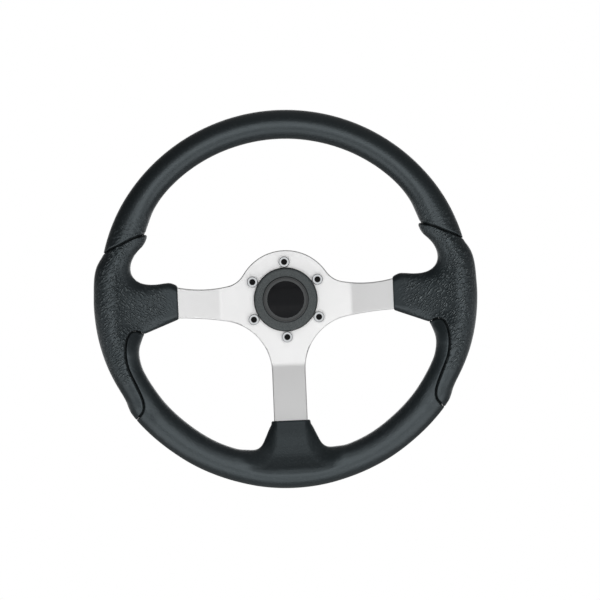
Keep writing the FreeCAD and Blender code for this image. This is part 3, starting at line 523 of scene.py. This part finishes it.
def link(nodes, shader, **sources):
    """Feeds the shader's sockets, named with an underscore for each space."""
    for key, source in sources.items():
        nodes.tree.links.new(source, shader.inputs[key.replace("_", " ")])


# The foam's grain is made of long cells that lean outwards, given by their number in a metre before they
# are stretched. The left half mirrors the right one as far as the fold, and beyond it the cells lean the
# other way.
GRAIN_LEAN, GRAIN_STRETCH, GRAIN_CELLS = math.radians(50), (0.85, 1, 2.5), 600.0
GRAIN_FOLD = 0.150
GRAIN_DEPTH, WARP = 0.0009, 0.002
FOAM_DARK, FOAM_LIGHT = (0.0060, 0.0092, 0.0108, 1), (0.0080, 0.0122, 0.0140, 1)
# A painted highlight for the grain's crests, and painted shade for the bottom of the joints' grooves
FOAM_CREST_HIGHLIGHT, FOAM_GROOVE_SHADE = (0.15, 0.17, 0.175, 1), (0.0015, 0.002, 0.002, 1)
FOAM_TINT = (0.83, 0.945, 1.0, 1)


def foam_material():
    """Charcoal moulded foam skin, with a leather grain that comes and goes along each moulding, painted
    highlights on its crests and painted shade in the joints' grooves.
    """
    made, nodes, where, shader = material("foam_skin")
    strength = nodes.add("ShaderNodeAttribute", attribute_name="grain").outputs["Fac"]
    groove_shade = nodes.add("ShaderNodeAttribute", attribute_name="groove_shade").outputs["Fac"]
    x, y, z = nodes.add("ShaderNodeSeparateXYZ", {0: where}).outputs
    folded = nodes.math("MINIMUM", nodes.math("ABSOLUTE", x), nodes.math("ADD", x, 2 * GRAIN_FOLD))
    turned = nodes.add("ShaderNodeCombineXYZ", {0: folded, 1: y, 2: z}).outputs[0]
    drawn = nodes.add("ShaderNodeMapping", {
        "Vector": turned, "Rotation": (0, GRAIN_LEAN, 0), "Scale": GRAIN_STRETCH}, vector_type="TEXTURE")
    warp = nodes.add("ShaderNodeTexNoise", {"Vector": where, "Scale": 220.0, "Detail": 2.0})
    shift = nodes.add("ShaderNodeVectorMath", {0: warp.outputs["Color"], "Scale": WARP}, operation="SCALE")
    moved = nodes.add("ShaderNodeVectorMath", {0: drawn.outputs[0], 1: shift.outputs[0]}, operation="ADD")
    pebble = nodes.add("ShaderNodeTexVoronoi", {
        "Vector": moved.outputs[0], "Scale": GRAIN_CELLS, "Smoothness": 0.5}, feature="SMOOTH_F1")
    crest = nodes.remap(pebble.outputs["Distance"], 0.12, 0.55, 1.0, 0.0)
    fine = nodes.noise(where, 0.8, 2.0)
    broad = nodes.noise(where, 26, 3.0)
    height = nodes.math("ADD", nodes.math("MULTIPLY", crest, strength), nodes.math("MULTIPLY", fine, 0.07))
    bump = nodes.add("ShaderNodeBump", {"Height": height, "Strength": 1.0, "Distance": GRAIN_DEPTH})
    colour = nodes.blend(nodes.remap(broad, 0.35, 0.65, 0.0, 1.0), FOAM_DARK, FOAM_LIGHT)
    # Painted highlight: the grain's crests are lightened, as far as the grain is strong
    crest_highlight = nodes.math("MULTIPLY", nodes.remap(crest, 0.5, 0.85, 0.0, 1.0), strength)
    colour = nodes.blend(crest_highlight, colour, FOAM_CREST_HIGHLIGHT)
    # Painted shade: near black, and rougher, at the bottom of the joints' grooves
    colour = nodes.blend(groove_shade, colour, FOAM_GROOVE_SHADE)
    rough = nodes.math("ADD", nodes.remap(fine, 0.3, 0.7, 0.34, 0.40), nodes.math("MULTIPLY", groove_shade, 0.4))
    link(nodes, shader, Base_Color=colour, Roughness=rough, Normal=bump.outputs[0])
    shader.inputs["Specular IOR Level"].default_value = 0.9
    shader.inputs["Specular Tint"].default_value = FOAM_TINT
    return made


def metal_material(name, colour, darker, roughness, line_mm, stretch):
    """Bare metal with a fine drawn or turned finish."""
    made, nodes, where, shader = material(name)
    drawn = nodes.add("ShaderNodeMapping", {"Vector": where, "Scale": stretch}).outputs[0]
    lines = nodes.noise(drawn, line_mm, 2.0)
    cloud = nodes.noise(where, 40, 2.0)
    tone = nodes.blend(nodes.remap(cloud, 0.3, 0.7, 0.0, 1.0), colour, darker)
    bump = nodes.add("ShaderNodeBump", {"Height": lines, "Strength": 0.35, "Distance": 0.00002})
    rough = nodes.remap(lines, 0.3, 0.7, roughness - 0.04, roughness + 0.04)
    link(nodes, shader, Base_Color=tone, Roughness=rough, Normal=bump.outputs[0])
    shader.inputs["Metallic"].default_value = 1.0
    return made


# The radius of the six screws' circle, the angle between two of them, and the radii between which the
# painted shade inside a socket ends
SCREW_CIRCLE, SCREW_STEP = 0.035, math.pi / 3
SOCKET_SHADE_FULL, SOCKET_EDGE = 0.0027, 0.00298
STEEL, SOCKET_SHADE_COLOUR = (0.46, 0.47, 0.48, 1), (0.003, 0.003, 0.003, 1)


def screw_material():
    """Bright steel, with painted shade inside the six hexagon sockets."""
    made, nodes, where, shader = material("screw_steel")
    x, _, z = nodes.add("ShaderNodeSeparateXYZ", {0: where}).outputs
    out = nodes.hypot(x, z)
    turn = nodes.math("ARCTAN2", x, z)
    nearest = nodes.math("MULTIPLY", nodes.math("ROUND", nodes.math("DIVIDE", turn, SCREW_STEP)), SCREW_STEP)
    off = nodes.math("SUBTRACT", turn, nearest)
    side = nodes.math("MULTIPLY", out, nodes.math("SINE", off))
    up = nodes.math("SUBTRACT", nodes.math("MULTIPLY", out, nodes.math("COSINE", off)), SCREW_CIRCLE)
    # Painted shade inside each socket, where the steel also stops being metal
    dark = nodes.remap(nodes.hypot(side, up), SOCKET_SHADE_FULL, SOCKET_EDGE, 1.0, 0.0)
    turned = nodes.noise(where, 0.5, 2.0)
    tone = nodes.blend(dark, STEEL, SOCKET_SHADE_COLOUR)
    rough = nodes.remap(turned, 0.3, 0.7, 0.30, 0.40)
    bump = nodes.add("ShaderNodeBump", {"Height": turned, "Strength": 0.3, "Distance": 0.00002})
    link(nodes, shader, Base_Color=tone, Roughness=rough, Normal=bump.outputs[0],
         Metallic=nodes.math("SUBTRACT", 1.0, dark))
    shader.inputs["Specular IOR Level"].default_value = 0.1
    return made


# Radii of the lines of painted shade round the bezel's edge and at the cap's step
BEZEL_EDGE, CAP_STEP = 0.0295, 0.0197
RING_SHADE = (0.004, 0.004, 0.005, 1)


def plastic_material(name, light, dark, grain_mm, depth, roughness, shade_ring=0.0, specular=0.5):
    """Moulded plastic with a fine even texture, and a line of painted shade round the axis where a ring is
    given.
    """
    made, nodes, where, shader = material(name)
    speckle = nodes.noise(where, grain_mm, 3.0, 0.6)
    tone = nodes.blend(nodes.remap(speckle, 0.38, 0.62, 0.0, 1.0), light, dark)
    if shade_ring:
        # Painted shade along the ring's radius
        off = nodes.math("ABSOLUTE", nodes.math("SUBTRACT", nodes.length(where, (1, 0, 1)), shade_ring))
        tone = nodes.blend(nodes.remap(off, 0.0003, 0.0009, 0.9, 0.0), tone, RING_SHADE)
    rough = nodes.remap(speckle, 0.3, 0.7, roughness - 0.05, roughness + 0.05)
    bump = nodes.add("ShaderNodeBump", {"Height": speckle, "Strength": 0.5, "Distance": depth})
    link(nodes, shader, Base_Color=tone, Roughness=rough, Normal=bump.outputs[0])
    shader.inputs["Specular IOR Level"].default_value = specular
    return made


foam_skin = foam_material()
for piece in foam:
    piece.data.materials.append(foam_skin)

FINISHES = {
    "spoke_plate": metal_material(
        "spoke_aluminium", (0.91, 0.91, 0.91, 1), (0.89, 0.89, 0.89, 1), 0.53, 0.25, (1, 1, 14)),
    "hub_adapter": metal_material(
        "hub_aluminium", (0.40, 0.41, 0.42, 1), (0.34, 0.35, 0.36, 1), 0.42, 0.4, (1, 9, 1)),
    "rim_core": metal_material(
        "core_steel", (0.30, 0.30, 0.30, 1), (0.24, 0.24, 0.24, 1), 0.5, 0.8, (1, 1, 1)),
    "spoke_rivets": metal_material(
        "rivet_aluminium", (0.60, 0.60, 0.61, 1), (0.55, 0.55, 0.56, 1), 0.35, 0.5, (1, 1, 1)),
    "cap_bezel": plastic_material(
        "bezel_plastic", (0.094, 0.108, 0.110, 1), (0.056, 0.066, 0.068, 1), 0.9, 0.00006, 0.56,
        shade_ring=BEZEL_EDGE),
    "centre_cap": plastic_material(
        "cap_plastic", (0.050, 0.056, 0.058, 1), (0.043, 0.049, 0.051, 1), 0.5, 0.00002, 0.34,
        shade_ring=CAP_STEP),
    "badge_disc": plastic_material(
        "badge_gloss", (0.004, 0.0045, 0.006, 1), (0.003, 0.0035, 0.005, 1), 6.0, 0.00001, 0.12,
        specular=0.1),
    "hub_screws": screw_material(),
}
for node_name, finish in FINISHES.items():
    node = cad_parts[node_name]
    node.data.materials.clear()
    node.data.materials.append(finish)


# Stage: a pale floor that fades into the white background, soft lamps and a sky that darkens overhead
FLOOR_Z, FLOOR_REACH = -1.1, 12
FLOOR_GREY = (0.88, 0.88, 0.88, 1)


def make_floor():
    """A pale floor that keeps the wheel's shadow. With the distance it turns plain white for the camera,
    and further out also for metal and glass."""
    corners = [(x * FLOOR_REACH, y * FLOOR_REACH, FLOOR_Z) for x, y in ((-1, -1), (1, -1), (1, 1), (-1, 1))]
    mesh = bpy.data.meshes.new("floor")
    mesh.from_pydata(corners, [], [range(4)])
    floor = bpy.data.objects.new("floor", mesh)
    bpy.context.scene.collection.objects.link(floor)
    made = bpy.data.materials.new("floor")
    mesh.materials.append(made)
    nodes = Nodes(made)
    out = nodes.length(nodes.add("ShaderNodeTexCoord").outputs["Object"], (1, 1, 0))
    paint = nodes.add("ShaderNodeBsdfDiffuse", {"Color": FLOOR_GREY})
    white = nodes.add("ShaderNodeEmission", {"Color": WHITE, "Strength": 1.0})
    path = nodes.add("ShaderNodeLightPath").outputs
    to_camera = nodes.math("MULTIPLY", nodes.remap(out, 1.0, 5.0, 0.7, 1.0), path["Is Camera Ray"])
    to_gloss = nodes.math("MULTIPLY", nodes.remap(out, 3.0, 7.0, 0.0, 1.0), nodes.math(
        "MAXIMUM", path["Is Glossy Ray"], path["Is Transmission Ray"]))
    mixed = nodes.add("ShaderNodeMixShader", {
        0: nodes.math("MAXIMUM", to_camera, to_gloss), 1: paint.outputs[0], 2: white.outputs[0]})
    nodes.add("ShaderNodeOutputMaterial", {0: mixed.outputs[0]})


def lamp(name, place, aim, width, height, level):
    """A soft lamp of a plain brightness all over, not seen by the camera."""
    data = bpy.data.lights.new(name, "AREA")
    data.shape = "RECTANGLE"
    data.size = width
    data.size_y = height
    data.energy = level * math.pi * width * height
    made = bpy.data.objects.new(name, data)
    made.location = place
    made.rotation_mode = "QUATERNION"
    made.rotation_quaternion = (Vector(aim) - made.location).to_track_quat("-Z", "Y")
    made.visible_camera = False
    bpy.context.scene.collection.objects.link(made)


def make_world():
    """White to the camera and in what metal and glass show of the background, and a soft light that
    falls off overhead, below and to the sides."""
    world = bpy.data.worlds.new("studio")
    bpy.context.scene.world = world
    sky = Nodes(world)
    direction = sky.add("ShaderNodeTexCoord").outputs["Generated"]
    x, y, z = sky.add("ShaderNodeSeparateXYZ", {0: direction}).outputs
    rising = sky.remap(z, 0.0, 0.50, 0.45, 0.20)
    sinking = sky.remap(z, -0.1, -0.6, 1.0, 0.55)
    to_left = sky.remap(x, -0.1, -0.7, 1.0, 0.35)
    to_right = sky.remap(x, 0.35, 0.95, 1.0, 0.6)
    upright = sky.math("MULTIPLY", rising, sinking)
    soft = sky.math("MULTIPLY", upright, sky.math("MULTIPLY", to_left, to_right))
    light = sky.add("ShaderNodeBackground", {"Color": WHITE, "Strength": soft})
    white = sky.add("ShaderNodeBackground", {"Color": WHITE, "Strength": 1.0})
    path = sky.add("ShaderNodeLightPath").outputs
    behind = sky.math("MULTIPLY", sky.remap(y, 0.8, 0.97, 0.0, 1.0), sky.math(
        "MAXIMUM", path["Is Glossy Ray"], path["Is Transmission Ray"]))
    shown = sky.math("MAXIMUM", path["Is Camera Ray"], behind)
    mixed = sky.add("ShaderNodeMixShader", {0: shown, 1: light.outputs[0], 2: white.outputs[0]})
    sky.add("ShaderNodeOutputWorld", {0: mixed.outputs[0]})


# The camera stands level with the wheel, which is rolled a little to the left in the picture
LENS, ROLL = 194.9, math.radians(2.5)
CAMERA_DISTANCE, CAMERA_RIGHT, CAMERA_DOWN = 3.073, 0.0133, 0.00046


def make_camera():
    data = bpy.data.cameras.new("camera")
    data.sensor_width = 36
    data.lens = LENS
    data.clip_start = 0.05
    data.clip_end = 60
    right = Vector((math.cos(ROLL), 0, -math.sin(ROLL)))
    up = Vector((math.sin(ROLL), 0, math.cos(ROLL)))
    placed = Matrix((right, up, right.cross(up))).transposed().to_4x4()
    placed.translation = right * CAMERA_RIGHT - up * CAMERA_DOWN + Vector((0, -CAMERA_DISTANCE, 0))
    camera = bpy.data.objects.new("camera", data)
    camera.matrix_world = placed
    bpy.context.scene.collection.objects.link(camera)
    bpy.context.scene.camera = camera


make_floor()
# Each lamp's place, aim, width, height and brightness
lamp("panel", (0.10, -0.90, -0.13), (0.10, 0, -0.13), 0.95, 0.58, 1.05)
lamp("high_fill", (0.0, -0.50, 0.21), (0, 0, -0.1), 0.22, 0.24, 1.0)
lamp("back_panel", (0.1, 1.5, 0.25), (0, 0, 0.05), 1.1, 0.8, 0.8)
lamp("low_right", (0.46, -0.36, -0.47), (0.1, -0.1, -0.1), 0.55, 0.5, 1.1)
lamp("low_left", (-0.46, -0.36, -0.47), (-0.1, -0.1, -0.1), 0.55, 0.5, 1.1)
lamp("low_middle", (0.0, -0.42, -0.54), (0, -0.1, -0.16), 0.5, 0.6, 0.85)
make_world()
make_camera()
bpy.context.scene.view_settings.view_transform = "Standard"
